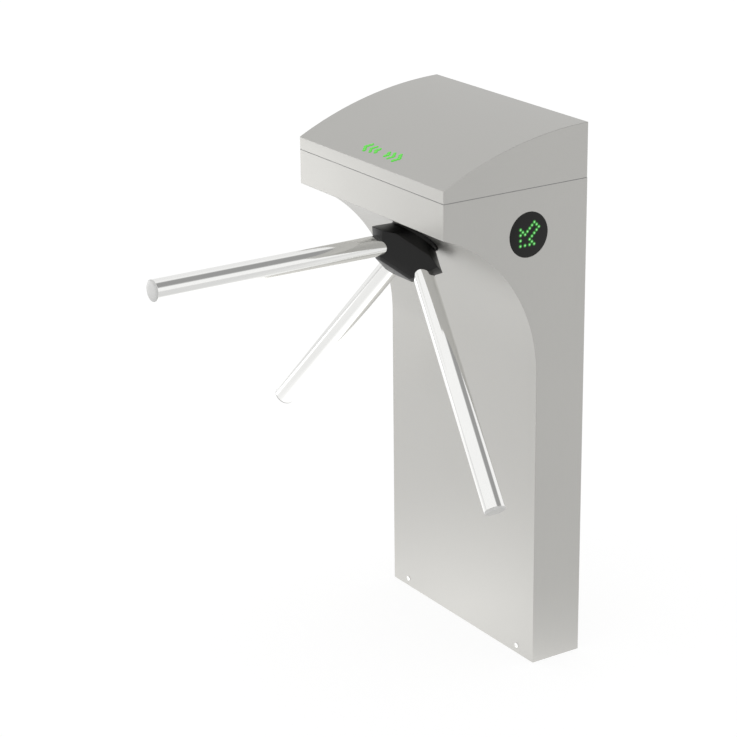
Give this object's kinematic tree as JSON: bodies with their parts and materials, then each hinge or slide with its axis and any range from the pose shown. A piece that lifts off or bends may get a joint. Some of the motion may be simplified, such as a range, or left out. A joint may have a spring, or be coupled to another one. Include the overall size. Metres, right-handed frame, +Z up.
{
  "type": "tripod turnstile",
  "caption": "Tripod turnstile: a sheet steel post with an overhanging head and hinged lid, and polished arms on a black leaning hub that turns on a lockable shaft.",
  "frame": {"origin": "centre of the post's rectangular footprint, on the floor, which is also the centre of the floor anchors", "axes": "+Z up, X along the way people walk, -Y towards the passage, where the head overhangs and the level arm points"},
  "size_m": [0.7194, 0.7422, 1],
  "materials": {
    "stainless_sheet": "satin",
    "polished_tube": "polished",
    "polished_cap": "gloss",
    "hub_black": "satin",
    "black_plastic": "satin",
    "dark_window": "gloss",
    "green_light": "gloss",
    "rubber": "matte",
    "grey_seal": "matte",
    "zinc_steel": "satin",
    "machined_steel": "satin",
    "machined_aluminium": "satin",
    "nylon": "satin",
    "black_disc": "matte",
    "circuit_board": "satin",
    "dark_case": "satin",
    "supply_case": "satin"
  },
  "bodies": {
    "cabinet": {"base_plate": "zinc_steel", "cable_grommet": "rubber", "rear_uprights": "zinc_steel", "head_rails": "zinc_steel", "lid_seal": "grey_seal", "side_panel_left": "stainless_sheet", "side_panel_right": "stainless_sheet", "front_panel": "stainless_sheet", "head_front_panel": "stainless_sheet", "rear_panel": "stainless_sheet", "panel_screws": "zinc_steel", "electronics_plate": "machined_aluminium", "control_board": "circuit_board", "board_standoffs": "zinc_steel", "power_supply": "supply_case", "indicator_window_right": "dark_window", "indicator_lights_right": "green_light", "indicator_housing_right": "black_plastic", "indicator_window_left": "dark_window", "indicator_lights_left": "green_light", "indicator_housing_left": "black_plastic", "cabinet_hinge_leaves": "zinc_steel", "hinge_pins": "zinc_steel", "mechanism_plate": "machined_aluminium", "mechanism_brackets": "zinc_steel", "mechanism_screws": "zinc_steel", "bearing_housing": "machined_aluminium", "bearings": "machined_steel", "damper_body": "dark_case", "position_sensor": "black_plastic", "pawl_pivots": "zinc_steel", "solenoids": "dark_case", "plunger_spring_left": "machined_steel", "plunger_spring_right": "machined_steel"},
    "lid": {"lid": "stainless_sheet", "display_board": "circuit_board", "display_lights": "green_light", "lid_hinge_leaves": "zinc_steel", "lid_lock": "zinc_steel"},
    "lock_plug": {"lock_cam": "machined_steel"},
    "rotor": {"hub": "hub_black", "hub_bolt": "zinc_steel", "hub_cover": "black_plastic", "main_shaft": "machined_steel", "index_disc": "machined_aluminium", "drive_gear": "nylon", "code_disc": "black_disc", "shaft_nut": "zinc_steel", "arm_1": "polished_tube", "arm_2": "polished_tube", "arm_3": "polished_tube", "arm_cap_1": "polished_cap", "arm_cap_2": "polished_cap", "arm_cap_3": "polished_cap", "arm_screws": "zinc_steel"},
    "damper_rotor": {"damper_pinion": "machined_steel"},
    "right_pawl": {"lock_pawl_right": "machined_steel"},
    "left_pawl": {"lock_pawl_left": "machined_steel"},
    "right_plunger": {"plunger_right": "zinc_steel"},
    "left_plunger": {"plunger_left": "zinc_steel"}
  },
  "joints": [
    {"name": "hub_spin", "type": "hinge", "parent": "cabinet", "child": "rotor", "pos_m": [0, -0.15888, 0.77179], "axis": [0, -0.6468, -0.7627], "continuous": true},
    {"name": "damper_spin", "type": "hinge", "parent": "cabinet", "child": "damper_rotor", "pos_m": [0, -0.03624, 0.7989], "axis": [0, -0.6468, -0.7627], "continuous": true},
    {"name": "lid_swing", "type": "hinge", "parent": "cabinet", "child": "lid", "pos_m": [0, 0.0558, 0.9016], "axis": [-1, 0, 0], "range_deg": [0, 75]},
    {"name": "lock_turn", "type": "hinge", "parent": "lid", "child": "lock_plug", "pos_m": [-0.21, 0.012, 0.926], "axis": [1, 0, 0], "range_deg": [0, 75]},
    {"name": "right_pawl_swing", "type": "hinge", "parent": "cabinet", "child": "right_pawl", "pos_m": [0.08435, -0.10165, 0.83602], "axis": [0, -0.6468, -0.7627], "range_deg": [0, 14]},
    {"name": "left_pawl_swing", "type": "hinge", "parent": "cabinet", "child": "left_pawl", "pos_m": [-0.08435, -0.10165, 0.83602], "axis": [0, 0.6468, 0.7627], "range_deg": [0, 14]},
    {"name": "right_plunger_slide", "type": "slide", "parent": "cabinet", "child": "right_plunger", "axis": [1, 0, 0], "range_m": [0, 0.00926], "stiffness_N_per_m": 250, "springref_m": -0.008, "deforming": ["plunger_spring_right"]},
    {"name": "left_plunger_slide", "type": "slide", "parent": "cabinet", "child": "left_plunger", "axis": [-1, 0, 0], "range_m": [0, 0.00926], "stiffness_N_per_m": 250, "springref_m": -0.008, "deforming": ["plunger_spring_left"]}
  ],
  "couplings": [
    {"joint": "damper_spin", "follows": "hub_spin", "ratio": -3.75},
    {"joint": "right_plunger_slide", "follows": "right_pawl_swing", "m_per_rad": 0.037906},
    {"joint": "left_plunger_slide", "follows": "left_pawl_swing", "m_per_rad": 0.037906}
  ]
}
